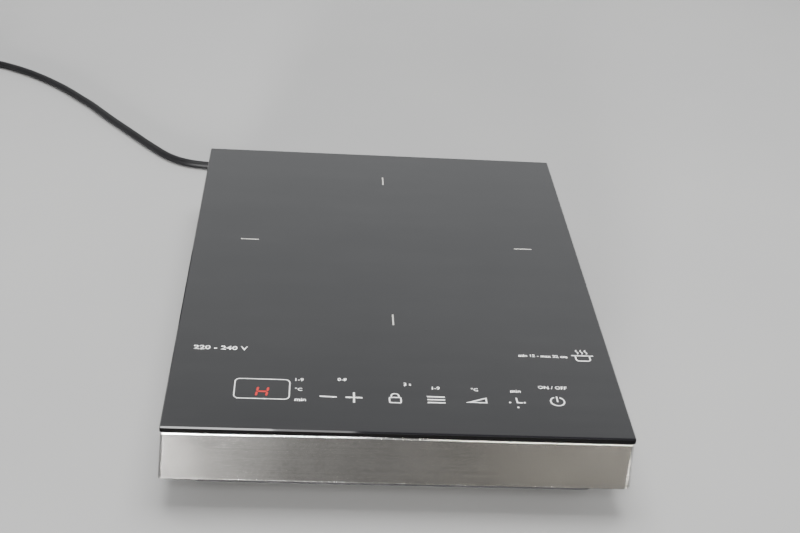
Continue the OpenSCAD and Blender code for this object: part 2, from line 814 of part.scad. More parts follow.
module sensor_spring() {
    wire_r = 0.3;
    z0 = ferrite_z0 + guide_floor_t + wire_r + 0.05;
    color("#cfcfcf") at_zone(0) tube(helix(4, z0, sensor_z0 - wire_r - 0.05, 3, 12), wire_r, 6);
}

module sensor_leads() {
    color("#d8d8d0") for (s = [-1, 1])
        tube([[s, zone_y, carrier_z0 - 0.5], [s, zone_y, 36], [s + 0.6, zone_y - 1, 31],
            [s + 1.4, zone_y - 3, 26], [s + 2, sensor_plug[1], board_z1 + plug_h]], 0.6, 6, [1, 0, 0]);
}

// ---------- controls ----------

key_at = concat([[minus_key_x, key_y]],
    [for (i = [0:key_count - 2]) [plus_key_x + i * key_pitch, key_y]]);
ribbon_at = [40, -134];

module control_board() {
    color("#24633a") difference() {
        box(control[0], control[1], control_z0, control[2], control[3], board_t);
        for (p = control_screw_at) post(p, 1.7, control_z0 - over, control_z1 + over);
    }
}

module control_bracket() {
    z0 = control_z0 - bracket_t;
    color("#202022") difference() {
        box(control[0], control[1], z0, control[2], control[3], bracket_t);
        box(control[0] + 12, control[1] + 6, z0 - over,
            control[2] - 24, control[3] - 12, bracket_t + 2 * over);
        for (p = control_screw_at) post(p, 1.7, z0 - over, control_z0 + over);
    }
}

module control_screws() {
    color("#b0b0b0") for (p = control_screw_at) translate([p[0], p[1], control_z1]) screw(screw_m3, 10);
}

// Springs that carry each touch key's field up to the glass
module touch_springs() {
    wire_r = 0.35;
    color("#c8a050") for (p = key_at) translate([p[0], p[1], 0])
        tube(helix(4.5, control_z1 + wire_r + 0.05, glass_z - wire_r - 0.05, 3, 10), wire_r, 5);
}

module display_module() {
    w = 32;
    d = 19;
    color("#141416")
        box(display_at[0] - w / 2, display_at[1] - d / 2, control_z1, w, d, glass_z - control_z1 - 0.6);
}

module indicator_leds() {
    color("#f2ead8") for (y = [-138, -148.5, -159])
        box(-54, y - 1, control_z1, 3.2, 1.6, 1.4);
}

// Flat cable: an S-curve seen from the side, as wide as its header
module ribbon_cable() {
    top = [ribbon_at[1], control_z0 - 5];
    low = [ribbon_plug[1], board_z1 + plug_h];
    half_t = 0.5;
    steps = 12;
    mid = [for (i = [0:steps]) let(s = i / steps, e = (1 - cos(180 * s)) / 2)
        [top[0] + (low[0] - top[0]) * e, top[1] + (low[1] - top[1]) * s]];
    side = [for (i = [0:steps]) let(t = heading(mid, i)) half_t * [-t[1], t[0]]];
    outline = concat([for (i = [0:steps]) mid[i] + side[i]], [for (i = [steps:-1:0]) mid[i] - side[i]]);
    color("#c9ccd2") {
        translate([ribbon_at[0] - 9, 0, 0]) rotate([90, 0, 90]) linear_extrude(18) polygon(outline);
        box(ribbon_at[0] - 10, ribbon_at[1] - 3, control_z0 - 5.2, 20, 6, 5.2);
    }
}

// ---------- mains entry ----------

clamp_wall = 3;

module cord_clamp() {
    color("#e0ddd2") difference() {
        translate([-cord_x, clamp_y, 0]) box(-15, -5, exit_z, 30, 10, cord_r + clamp_wall);
        translate([-cord_x, clamp_y, exit_z]) rotate([90, 0, 0])
            cylinder(r = cord_r, h = 20, center = true);
        for (p = clamp_screw_at) post(p, 1.7, exit_z - over, exit_z + 10);
    }
}

module clamp_screws() {
    color("#9a9a9a") for (p = clamp_screw_at)
        translate([p[0], p[1], exit_z + cord_r + clamp_wall]) screw(screw_m3, 11);
}

inner_cord_y0 = clamp_y - 9;

module inner_cord() {
    color("#161616") translate([-cord_x, inner_cord_y0, exit_z]) rotate([-90, 0, 0])
        cylinder(r = cord_r, h = pan_d / 2 - pan_t - 2 - inner_cord_y0);
}

module mains_wires() {
    y = inner_cord_y0;
    live = [[-cord_x + 1.5, y, exit_z], [-101, y - 12, exit_z - 1], [-92, y - 30, 12],
        [-76, 90, 11.5], [-58, 66, 11.5], [-44, 54, 13], [-38, 50, 18], [-34, 48, 22], [-28.5, 45, 24.8]];
    neutral = [[-cord_x - 1.5, y, exit_z + 1], [-104, y - 14, exit_z + 1], [-95, y - 32, 15.5],
        [-78, 94, 15], [-58, 71, 15], [-44, 60, 16], [-36, 57, 20], [-30, 55, 23.5], [-24.5, 54, 25]];
    color("#6b4a2a") tube(live, 1.1, 8);
    color("#2b4f8a") tube(neutral, 1.1, 8);
}

// Earth wire with a ring lug that sits on the shell's stud
module earth_wire() {
    lug_x = earth_wall_x + 0.4;
    lug_t = 2.4;
    wire_z = earth_z - 3.4;
    color("#6f9a3a") {
        tube([[-cord_x - 1, inner_cord_y0, exit_z - 1.8], [-108, 138, 13], [-113, 132, 16],
            [-119, 127, 22], [-124, 123, 28], [-132, 121, 34], [-139, earth_y, wire_z],
            [lug_x + lug_t / 2, earth_y, wire_z]], 1.1, 8, [0, 1, 0]);
        translate([lug_x, earth_y, earth_z]) rotate([0, 90, 0]) difference() {
            cylinder(r = 4.5, h = lug_t);
            translate([0, 0, -over]) cylinder(r = earth_stud_r + 0.15, h = lug_t + 2 * over);
        }
    }
}

// ---------- cord on the table ----------

// Ribbed, tapered sleeve that leaves the base pan's rear wall
module cord_strain_relief() {
    color("#151516") translate([-cord_x, exit_y, exit_z]) rotate([-90, 0, 0]) {
        translate([0, 0, -pan_t]) cylinder(r = 5.4, h = pan_t);
        difference() {
            translate([0, 0, -pan_t - 2]) cylinder(r = 7, h = 2);
            // flat that clears the pan's floor
            translate([-8, exit_z - floor_z - 0.2, -pan_t - 3]) cube([16, 4, 4]);
        }
        cylinder(r = 6.2, h = 3);
        difference() {
            translate([0, 0, 3]) cylinder(r1 = 5.6, r2 = cord_r + 0.5, h = relief_len - 3);
            for (i = [0:5]) translate([0, 0, 7 + 4.2 * i]) difference() {
                cylinder(r = 7, h = 1.6);
                translate([0, 0, -over]) cylinder(r = cord_r + 0.4, h = 4);
            }
        }
    }
}

module power_cord_run() {
    color("#161616") tube(cord_route, cord_r, 10);
}

// Outer shape of the wound cord: two turns wide and two high
module power_cord_coil() {
    inner = cord_coil_r[0];
    span = cord_coil_r[1] - inner;
    color("#161616") translate([cord_coil_at[0], cord_coil_at[1], 0.1]) rotate_extrude() {
        translate([inner, 0]) square([span, 2 * cord_layer]);
        translate([inner - cord_r, cord_r]) square([span + cord_d, cord_layer]);
        for (r = cord_coil_r, k = [0, 1]) translate([r, cord_r + k * cord_layer]) circle(cord_r);
    }
}

module power_cord_tail() {
    color("#161616") tube(cord_tail, cord_r, 10);
}

module at_plug() {
    translate([cord_tail[len(cord_tail) - 1][0], plug_y, plug_z]) rotate([90, 0, 0]) children();
}

module plug_body() {
    color("#18181a") at_plug() difference() {
        union() {
            cylinder(r1 = cord_r + 0.8, r2 = 6.5, h = 16);
            translate([0, 0, 16]) cylinder(r1 = 8, r2 = 14, h = 20);
            translate([0, 0, 36]) cylinder(r = plug_r, h = 16);
        }
        // grooves for the two earth strips, and the earth pin's socket
        for (s = [-1, 1]) box(-3, s > 0 ? plug_r - 2 : -plug_r - over, 37, 6, 2 + over, 20);
        translate([0, 8, 38]) cylinder(r = 2.4, h = 20);
        for (s = [-1, 1]) translate([9.5 * s, 0, 44]) cylinder(r = 2.4, h = 20);
    }
}

module plug_contacts() {
    color("#c9cacc") at_plug() {
        for (s = [-1, 1]) translate([9.5 * s, 0, 44]) {
            cylinder(r = 2.4, h = 25);
            translate([0, 0, 25]) cylinder(r1 = 2.4, r2 = 1.6, h = 1.5);
        }
        for (s = [-1, 1]) box(-2.6, s > 0 ? plug_r - 2 : -plug_r + 0.8, 37, 5.2, 1.2, 15);
    }
}

glass_top();
glass_seal();
side_shell();
front_fascia();
base_pan();
rubber_feet();
shell_screws();
power_board();
board_screws();
heat_sink();
igbt();
bridge_rectifier();
heat_sink_screws();
film_capacitors();
electrolytic_capacitors();
choke_core();
choke_winding();
mains_fuse();
varistor();
supply_transformer();
buzzer();
board_connectors();
board_terminals();
fan_frame();
fan_rotor();
fan_magnet();
fan_shaft();
fan_bearing();
fan_stator();
fan_screws();
fan_lead();
coil_carrier();
ferrite_bars();
coil_former();
coil_winding();
mica_sheet();
coil_screws();
coil_leads();
temperature_sensor();
sensor_guide();
sensor_spring();
sensor_leads();
control_board();
control_bracket();
control_screws();
touch_springs();
display_module();
indicator_leds();
ribbon_cable();
cord_clamp();
clamp_screws();
inner_cord();
mains_wires();
earth_wire();
cord_strain_relief();
power_cord_run();
power_cord_coil();
power_cord_tail();
plug_body();
plug_contacts();
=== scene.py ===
import math

import bmesh
import bpy
from mathutils import Matrix, Vector


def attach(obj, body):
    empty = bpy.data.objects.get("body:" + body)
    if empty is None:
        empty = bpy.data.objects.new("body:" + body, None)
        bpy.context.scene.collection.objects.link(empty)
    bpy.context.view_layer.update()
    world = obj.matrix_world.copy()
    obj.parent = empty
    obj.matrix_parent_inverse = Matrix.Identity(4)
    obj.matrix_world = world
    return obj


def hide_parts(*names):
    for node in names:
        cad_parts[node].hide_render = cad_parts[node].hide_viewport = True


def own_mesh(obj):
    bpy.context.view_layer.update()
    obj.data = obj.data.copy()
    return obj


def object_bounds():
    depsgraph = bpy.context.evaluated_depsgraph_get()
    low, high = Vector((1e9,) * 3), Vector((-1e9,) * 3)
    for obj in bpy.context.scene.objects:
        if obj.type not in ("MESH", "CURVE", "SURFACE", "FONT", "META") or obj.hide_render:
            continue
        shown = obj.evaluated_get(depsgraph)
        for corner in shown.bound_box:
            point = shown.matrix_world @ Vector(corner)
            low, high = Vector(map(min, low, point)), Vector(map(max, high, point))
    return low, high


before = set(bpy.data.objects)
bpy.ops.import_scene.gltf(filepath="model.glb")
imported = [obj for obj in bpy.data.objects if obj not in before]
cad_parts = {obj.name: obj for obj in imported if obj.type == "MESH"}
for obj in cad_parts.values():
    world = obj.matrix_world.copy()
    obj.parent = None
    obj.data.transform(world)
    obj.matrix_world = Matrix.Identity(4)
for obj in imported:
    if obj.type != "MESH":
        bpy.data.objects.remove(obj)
cad_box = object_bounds()

MM = 0.001
HOUSING = "housing"


# ---------- camera, floor and light ----------

CAMERA_AT = (-62.0, -791.0, 539.0)  # millimetres
CAMERA_YAW = 5.03  # degrees to the right of +Y
CAMERA_PITCH = 30.93  # degrees below the horizon
CAMERA_ROLL = 4.66
CAMERA_LENS = 56.92  # millimetres
SENSOR = 36.0
WORLD_RISE = [(0.0, 0.45), (0.35, 0.84), (0.55, 0.95), (0.9, 0.6)]  # from the horizon to straight up
WORLD_DEPTH = [(0.4, 0.14), (0.85, 1.0)]  # from in front to behind
WORLD_STRENGTH = 1.42
WORLD_TINT = (0.975, 0.99, 1.0, 1.0)
BEAM = 30.0  # degrees; the front softboxes have grids, which keep their light off the floor beside them
OPEN = 180.0  # degrees; a softbox without a grid
NEUTRAL = (1.0, 1.0, 1.0)
LIGHTS = [  # name, place and aim in metres, width and height, watts, tint, spread
    ("front_softbox", (-0.75, -4.0, 0.42), (0, 0, 0.55), (0.68, 0.60), 33, (1.0, 0.99, 0.98), BEAM),
    ("high_softbox", (-0.36, -1.59, 1.74), (-0.12, -0.19, 0.06), (0.46, 0.36), 9, NEUTRAL, OPEN),
    ("high_fill", (-0.03, -1.59, 1.74), (-0.12, -0.19, 0.06), (0.20, 0.36), 1.3, NEUTRAL, OPEN),
    ("warm_softbox", (1.2, -4.0, 0.42), (0.1, 0, 0.55), (1.3, 0.60), 4.6, (1.0, 0.92, 0.80), BEAM),
    ("side_softbox", (2.4, -0.2, 0.8), (0.2, -0.2, 0.1), (1.6, 1.3), 12, (1.0, 0.99, 0.97), OPEN),
    ("top_softbox", (0.0, 0.3, 2.1), (0, 0.1, 0.05), (1.6, 1.0), 55, NEUTRAL, OPEN),
]
FLOOR_HALF = 40.0  # metres, half of its side
FLOOR_DARK, FLOOR_PALE = (0.40, 0.40, 0.40), (0.425, 0.425, 0.42)
GLASS_SIDE = (50.0, 59.1)  # heights of the glass's ground side, millimetres
FOLD_HIGH = (54.45, 60.0)  # heights of the steel's upper bend, which is painted bright as a painted highlight
FOLD_LOW = (21.3, 22.4)  # and of its lower bend, which gets a fainter painted highlight
CORNER_X = (142.9, 160.0)  # the corner of the shell that is painted bright as a painted highlight
CORNER_Y = (-200.0, -187.0)


def make_camera():
    yaw, pitch, roll = (math.radians(a) for a in (CAMERA_YAW, CAMERA_PITCH, CAMERA_ROLL))
    look = Vector((math.sin(yaw) * math.cos(pitch), math.cos(yaw) * math.cos(pitch), -math.sin(pitch)))
    level = Vector((math.cos(yaw), -math.sin(yaw), 0.0))
    lift = level.cross(look)
    right = math.cos(roll) * level + math.sin(roll) * lift
    up = -math.sin(roll) * level + math.cos(roll) * lift
    data = bpy.data.cameras.new("camera")
    data.lens = CAMERA_LENS
    data.sensor_width = SENSOR
    data.clip_start = 0.01
    cam = bpy.data.objects.new("camera", data)
    bpy.context.collection.objects.link(cam)
    turn = Matrix((right, up, -look)).transposed().to_4x4()
    cam.matrix_world = Matrix.Translation(Vector(CAMERA_AT) * MM) @ turn
    bpy.context.scene.camera = cam


def make_area(name, at, aim, size, watts, tint, spread):
    data = bpy.data.lights.new(name, "AREA")
    data.shape = "RECTANGLE"
    data.size, data.size_y = size
    data.energy = watts
    data.color = tint
    data.spread = math.radians(spread)
    light = bpy.data.objects.new(name, data)
    bpy.context.collection.objects.link(light)
    place = Vector(at)
    turn = (Vector(aim) - place).to_track_quat("-Z", "Y").to_matrix().to_4x4()
    light.matrix_world = Matrix.Translation(place) @ turn


def make_world():
    """A plain room: a bright wall behind, a bright ceiling, and a dimmer room in front."""
    world = bpy.data.worlds.new("studio")
    bpy.context.scene.world = world
    world.use_nodes = True
    nodes, links = world.node_tree.nodes, world.node_tree.links
    back = nodes["Background"]
    place = nodes.new("ShaderNodeTexCoord")
    split = nodes.new("ShaderNodeSeparateXYZ")
    links.new(place.outputs["Generated"], split.inputs[0])
    rise = ramp(nodes, links, split.outputs["Z"], WORLD_RISE)
    half = combine(nodes, links, split.outputs["Y"], 0.5, "MULTIPLY")
    depth = ramp(nodes, links, combine(nodes, links, half, 0.5), WORLD_DEPTH)
    glow = combine(nodes, links, rise, depth, "MULTIPLY")
    links.new(combine(nodes, links, glow, WORLD_STRENGTH, "MULTIPLY"), back.inputs["Strength"])
    back.inputs["Color"].default_value = WORLD_TINT


# ---------- node helpers ----------

def material(name):
    mat = bpy.data.materials.new(name)
    mat.use_nodes = True
    return mat, mat.node_tree.nodes, mat.node_tree.links, mat.node_tree.nodes["Principled BSDF"]


def settle(shader, **values):
    for key, value in values.items():
        socket = shader.inputs[key.replace("_", " ")]
        if isinstance(value, tuple) and len(value) == 3 and socket.type == "RGBA":
            value = value + (1.0,)
        socket.default_value = value


def surface_coords(nodes, links, scale=(1.0, 1.0, 1.0)):
    place = nodes.new("ShaderNodeTexCoord")
    mapping = nodes.new("ShaderNodeMapping")
    mapping.inputs["Scale"].default_value = scale
    links.new(place.outputs["Object"], mapping.inputs["Vector"])
    return mapping.outputs["Vector"]


def noise(nodes, links, vector, scale, detail=3.0, roughness=0.5):
    tex = nodes.new("ShaderNodeTexNoise")
    tex.inputs["Scale"].default_value = scale
    tex.inputs["Detail"].default_value = detail
    tex.inputs["Roughness"].default_value = roughness
    links.new(vector, tex.inputs["Vector"])
    return tex.outputs["Fac"]


def spots(nodes, links, vector, scale, randomness=1.0):
    tex = nodes.new("ShaderNodeTexVoronoi")
    tex.inputs["Scale"].default_value = scale
    tex.inputs["Randomness"].default_value = randomness
    links.new(vector, tex.inputs["Vector"])
    return tex.outputs["Distance"]


def ramp(nodes, links, fac, stops):
    node = nodes.new("ShaderNodeValToRGB")
    marks = node.color_ramp.elements
    while len(marks) < len(stops):
        marks.new(0.5)
    for mark, (position, tone) in zip(marks, stops):
        mark.position = position
        mark.color = tone + (1.0,) if isinstance(tone, tuple) else (tone, tone, tone, 1.0)
    links.new(fac, node.inputs["Fac"])
    return node.outputs["Color"]


def stretch(nodes, links, fac, low, high, start=0.0, end=1.0):
    node = nodes.new("ShaderNodeMapRange")
    node.inputs["From Min"].default_value = start
    node.inputs["From Max"].default_value = end
    node.inputs["To Min"].default_value = low
    node.inputs["To Max"].default_value = high
    links.new(fac, node.inputs["Value"])
    return node.outputs["Result"]


def combine(nodes, links, a, b, operation="ADD"):
    node = nodes.new("ShaderNodeMath")
    node.operation = operation
    links.new(a, node.inputs[0])
    if isinstance(b, float):
        node.inputs[1].default_value = b
    else:
        links.new(b, node.inputs[1])
    return node.outputs[0]


def bump(nodes, links, shader, height, distance, strength=1.0):
    node = nodes.new("ShaderNodeBump")
    node.inputs["Distance"].default_value = distance
    node.inputs["Strength"].default_value = strength
    links.new(height, node.inputs["Height"])
    links.new(node.outputs["Normal"], shader.inputs["Normal"])


def feed(links, out, shader, socket):
    links.new(out, shader.inputs[socket])


# ---------- materials ----------

WIPES = (3.0, 22.0, 3.0)  # noise scales of the wiped streaks on the glass
GRAIN = (9.0, 9.0, 2400.0)  # of the steel's fine lines, which run level
STREAKS = (4.0, 4.0, 420.0)  # of its broader lines
HAIRS = (900.0, 900.0, 160.0)  # and of its short upright scratches
BEND_HIGHLIGHT_TONE = (0.80, 0.80, 0.79)  # colour of the painted highlight on its bends and corner


def band(nodes, links, axis, low, high, soft=0.1):
    """1 where this coordinate lies between two values, in millimetres, and 0 elsewhere."""
    split = nodes.new("ShaderNodeSeparateXYZ")
    links.new(nodes.new("ShaderNodeTexCoord").outputs["Object"], split.inputs[0])
    rise = nodes.new("ShaderNodeMapRange")
    fall = nodes.new("ShaderNodeMapRange")
    for node, start, end in ((rise, low - soft, low + soft), (fall, high + soft, high - soft)):
        node.inputs["From Min"].default_value = start * MM
        node.inputs["From Max"].default_value = end * MM
        links.new(split.outputs[axis], node.inputs["Value"])
    return combine(nodes, links, rise.outputs["Result"], fall.outputs["Result"], "MULTIPLY")


def black_glass():
    """Black glass-ceramic: wiped and slightly hazy on top, matt and dark on its ground sides."""
    mat, nodes, links, shader = material("black_glass")
    settle(shader, IOR=1.52)
    where = surface_coords(nodes, links)
    haze = noise(nodes, links, where, 9.0, 4.0, 0.6)
    wipes = noise(nodes, links, surface_coords(nodes, links, WIPES), 3.0, 4.0, 0.65)
    film = combine(nodes, links, haze, wipes, "MULTIPLY")
    drops = ramp(nodes, links, spots(nodes, links, where, 46.0), [(0.03, 1.0), (0.075, 0.0)])
    patch = ramp(nodes, links, noise(nodes, links, where, 7.0, 2.0), [(0.5, 0.0), (0.62, 1.0)])
    specks = combine(nodes, links, drops, patch, "MULTIPLY")
    side = band(nodes, links, "Z", *GLASS_SIDE)
    depth = combine(nodes, links, film, stretch(nodes, links, side, 0.0, 0.4), "SUBTRACT")
    tone = ramp(nodes, links, depth, [(0.0, (0.002, 0.002, 0.002)), (0.15, (0.004, 0.004, 0.005)),
                                      (0.55, (0.010, 0.010, 0.011))])
    feed(links, tone, shader, "Base Color")
    shine = ramp(nodes, links, film, [(0.12, 0.035), (0.5, 0.13)])
    ground = combine(nodes, links, side, 0.3, "MULTIPLY")
    feed(links, combine(nodes, links, shine, ground), shader, "Roughness")
    feed(links, stretch(nodes, links, side, 0.5, 0.03), shader, "Specular IOR Level")
    bump(nodes, links, shader, specks, 0.00014, 0.5)
    return mat


def brushed_steel(name, tone, rough=(0.22, 0.30), stretched=1.0, painted_bend_highlight=False, grooves=0.000012):
    """Steel brushed along its length: highlights spread upright, across the fine lines."""
    mat, nodes, links, shader = material(name)
    settle(shader, Metallic=1.0, Anisotropic=stretched, Anisotropic_Rotation=0.25)
    along = nodes.new("ShaderNodeTangent")
    along.direction_type = "RADIAL"
    along.axis = "Z"
    feed(links, along.outputs["Tangent"], shader, "Tangent")
    where = surface_coords(nodes, links)
    grain = noise(nodes, links, surface_coords(nodes, links, GRAIN), 1.0, 4.0, 0.7)
    streak = noise(nodes, links, surface_coords(nodes, links, STREAKS), 1.0, 3.0, 0.6)
    smudge = noise(nodes, links, where, 24.0, 4.0, 0.6)
    specks = ramp(nodes, links, spots(nodes, links, where, 70.0), [(0.025, 1.0), (0.06, 0.0)])
    hairs = noise(nodes, links, surface_coords(nodes, links, HAIRS), 1.0, 1.0)
    scratch = ramp(nodes, links, hairs, [(0.74, 0.0), (0.80, 1.0)])
    patches = ramp(nodes, links, noise(nodes, links, where, 30.0, 2.0), [(0.5, 0.0), (0.65, 1.0)])
    marks = combine(nodes, links, combine(nodes, links, scratch, patches, "MULTIPLY"), specks)
    mottle = combine(nodes, links, noise(nodes, links, where, 420.0, 4.0, 0.62), 0.8, "MULTIPLY")
    lines = combine(nodes, links, combine(nodes, links, grain, 0.8, "MULTIPLY"),
                    combine(nodes, links, streak, 0.55, "MULTIPLY"))
    mix = combine(nodes, links, combine(nodes, links, lines, smudge), mottle)
    mix = combine(nodes, links, mix, combine(nodes, links, marks, 0.5, "MULTIPLY"))
    look = stretch(nodes, links, mix, 0.0, 1.0, 1.0, 2.2)
    dark, light = (tuple(min(c * share, 1.0) for c in tone) for share in (0.62, 1.25))
    stops = [(0.0, dark), (0.55, tone), (1.0, light)]
    # When set, the bends and the front corner are painted nearly white: a painted highlight standing in for
    # the light they catch
    if painted_bend_highlight:
        high = band(nodes, links, "Z", *FOLD_HIGH, soft=0.3)
        low = combine(nodes, links, band(nodes, links, "Z", *FOLD_LOW, soft=0.3), 0.55, "MULTIPLY")
        corner = combine(nodes, links, band(nodes, links, "X", *CORNER_X),
                         band(nodes, links, "Y", *CORNER_Y), "MULTIPLY")
        corner = combine(nodes, links, corner, 0.7, "MULTIPLY")
        bend_highlight = combine(nodes, links, combine(nodes, links, high, low), corner)
        look = combine(nodes, links, combine(nodes, links, look, 0.5, "MULTIPLY"),
                       combine(nodes, links, bend_highlight, 0.5, "MULTIPLY"))
        stops = [(position / 2, shade) for position, shade in stops] + [(0.62, BEND_HIGHLIGHT_TONE)]
    feed(links, ramp(nodes, links, look, stops), shader, "Base Color")
    feed(links, stretch(nodes, links, smudge, rough[0], rough[1]), shader, "Roughness")
    bump(nodes, links, shader, grain, grooves)
    return mat


def moulded(name, tone, rough=(0.42, 0.58), grain=2200.0, depth=0.00004, lift=1.7, specular=0.5):
    mat, nodes, links, shader = material(name)
    settle(shader, Specular_IOR_Level=specular)
    where = surface_coords(nodes, links)
    fine = noise(nodes, links, where, grain, 2.0)
    broad = noise(nodes, links, where, 30.0, 4.0)
    pale = tuple(min(c * lift, 1.0) for c in tone)
    feed(links, ramp(nodes, links, broad, [(0.3, tone), (0.75, pale)]), shader, "Base Color")
    feed(links, stretch(nodes, links, broad, rough[0], rough[1]), shader, "Roughness")
    bump(nodes, links, shader, fine, depth)
    return mat


def plated(name, tone, rough=(0.18, 0.34), grain=900.0):
    mat, nodes, links, shader = material(name)
    settle(shader, Metallic=1.0)
    where = surface_coords(nodes, links)
    fine = noise(nodes, links, where, grain, 3.0)
    broad = noise(nodes, links, where, 70.0, 3.0)
    dull = tuple(c * 0.8 for c in tone)
    feed(links, ramp(nodes, links, broad, [(0.25, dull), (0.8, tone)]), shader, "Base Color")
    feed(links, stretch(nodes, links, fine, rough[0], rough[1]), shader, "Roughness")
    bump(nodes, links, shader, fine, 0.00001)
    return mat


def circuit_board():
    mat, nodes, links, shader = material("circuit_board")
    where = surface_coords(nodes, links)
    tracks = nodes.new("ShaderNodeTexBrick")
    tracks.inputs["Scale"].default_value = 120.0
    tracks.inputs["Mortar Size"].default_value = 0.03
    tracks.inputs["Color1"].default_value = (0.012, 0.075, 0.028, 1)
    tracks.inputs["Color2"].default_value = (0.018, 0.105, 0.04, 1)
    tracks.inputs["Mortar"].default_value = (0.03, 0.16, 0.06, 1)
    links.new(where, tracks.inputs["Vector"])
    feed(links, tracks.outputs["Color"], shader, "Base Color")
    feed(links, stretch(nodes, links, noise(nodes, links, where, 200.0), 0.22, 0.42), shader, "Roughness")
    bump(nodes, links, shader, tracks.outputs["Fac"], 0.00003)
    return mat


def ink(name, tone):
    mat, nodes, links, shader = material(name)
    fine = noise(nodes, links, surface_coords(nodes, links), 1800.0, 3.0, 0.7)
    thin = tuple(c * 0.82 for c in tone)
    feed(links, ramp(nodes, links, fine, [(0.3, thin), (0.6, tone)]), shader, "Base Color")
    feed(links, stretch(nodes, links, fine, 0.35, 0.55), shader, "Roughness")
    return mat


def lit_segment():
    mat, nodes, links, shader = material("lit_segment")
    fine = noise(nodes, links, surface_coords(nodes, links), 500.0, 2.0)
    glow = ramp(nodes, links, fine, [(0.3, (1.0, 0.003, 0.0)), (0.7, (1.0, 0.010, 0.002))])
    feed(links, glow, shader, "Emission Color")
    settle(shader, Base_Color=(0.16, 0.003, 0.002), Emission_Strength=0.8, Roughness=0.3)
    return mat


def paint(node, mat):
    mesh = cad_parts[node].data
    if not mesh.materials:
        mesh.materials.append(mat)
    for i in range(len(mesh.materials)):
        mesh.materials[i] = mat


def paint_frame():
    # The fascia is the same steel as the shell, painted much darker: painted shade standing in for the
    # shadowed floor its face mirrors
    steel = brushed_steel("fascia_steel_painted_dark", (0.132, 0.129, 0.123), painted_bend_highlight=True)
    shell = brushed_steel("shell_steel", (0.33, 0.326, 0.317), painted_bend_highlight=True)
    zinc = plated("zinc", (0.62, 0.62, 0.60))
    copper = plated("copper", (0.72, 0.33, 0.16), (0.25, 0.4), 400.0)
    brass = plated("brass", (0.78, 0.58, 0.26))
    sink = brushed_steel("sink_aluminium", (0.80, 0.81, 0.82), (0.3, 0.45), 0.4, grooves=0.00001)
    board = circuit_board()
    black = moulded("device_black", (0.012, 0.012, 0.013))
    white = moulded("connector_white", (0.72, 0.70, 0.64), lift=1.1)
    ferrite = moulded("ferrite", (0.035, 0.035, 0.038), (0.55, 0.75), 900.0, 0.00008)
    former = moulded("former_plastic", (0.52, 0.48, 0.38), lift=1.15)
    pan = moulded("pan_plastic", (0.011, 0.011, 0.012), (0.66, 0.82), 1500.0, 0.00007, specular=0.25)
    fan = moulded("fan_plastic", (0.014, 0.014, 0.015))
    rubber = moulded("foot_rubber", (0.016, 0.016, 0.016), (0.65, 0.85), 1300.0, 0.00008, specular=0.25)
    cord = moulded("cord_sheath", (0.0045, 0.0045, 0.005), (0.40, 0.55), 3200.0, 0.00002, specular=0.2)
    looks = {
        "glass_top": black_glass(), "glass_seal": moulded("silicone", (0.012, 0.012, 0.012), (0.5, 0.7)),
        "side_shell": shell, "front_fascia": steel, "base_pan": pan, "control_bracket": pan,
        "rubber_feet": rubber, "heat_sink": sink, "coil_carrier": sink, "power_board": board,
        "control_board": board, "igbt": black, "bridge_rectifier": black, "buzzer": black,
        "display_module": black,
        "film_capacitors": moulded("capacitor_yellow", (0.62, 0.44, 0.08), lift=1.1),
        "electrolytic_capacitors": moulded("capacitor_sleeve", (0.012, 0.03, 0.09), (0.2, 0.35)),
        "choke_core": ferrite, "fan_magnet": ferrite, "ferrite_bars": ferrite,
        "choke_winding": copper, "coil_winding": copper, "coil_leads": copper, "fan_stator": copper,
        "mains_fuse": moulded("fuse_ceramic", (0.66, 0.63, 0.56), (0.2, 0.35), lift=1.1),
        "varistor": moulded("varistor_blue", (0.012, 0.07, 0.28), (0.25, 0.4)),
        "supply_transformer": moulded("tape_amber", (0.55, 0.36, 0.06), (0.25, 0.4), lift=1.2),
        "board_connectors": white, "cord_clamp": white, "sensor_leads": white,
        "board_terminals": brass, "fan_bearing": brass, "touch_springs": brass,
        "fan_frame": fan, "fan_rotor": fan, "fan_shaft": zinc, "sensor_spring": zinc,
        "fan_lead": moulded("lead_red", (0.35, 0.015, 0.012), (0.3, 0.45), lift=1.3),
        "coil_former": former, "sensor_guide": former,
        "mica_sheet": moulded("mica", (0.50, 0.42, 0.28), (0.25, 0.5), 300.0, lift=1.3),
        "temperature_sensor": moulded("sensor_ceramic", (0.74, 0.72, 0.66), lift=1.1),
        "indicator_leds": moulded("led_lens", (0.80, 0.77, 0.66), (0.1, 0.2), lift=1.1),
        "ribbon_cable": moulded("ribbon_grey", (0.42, 0.44, 0.47), (0.3, 0.45), lift=1.15),
        "inner_cord": cord,
        "cord_strain_relief": moulded("relief_rubber", (0.012, 0.012, 0.012), (0.5, 0.65)),
        "power_cord_run": cord, "power_cord_coil": cord, "power_cord_tail": cord,
        "mains_wires": moulded("wire_sleeve", (0.10, 0.045, 0.02), (0.3, 0.45)),
        "earth_wire": moulded("earth_sleeve", (0.13, 0.32, 0.03), (0.3, 0.45)),
        "plug_body": moulded("plug_plastic", (0.014, 0.014, 0.015), (0.6, 0.75), specular=0.25),
        "plug_contacts": plated("plug_nickel", (0.70, 0.69, 0.66)),
    }
    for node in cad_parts:
        paint(node, looks.get(node, zinc))


# ---------- mains cord ----------

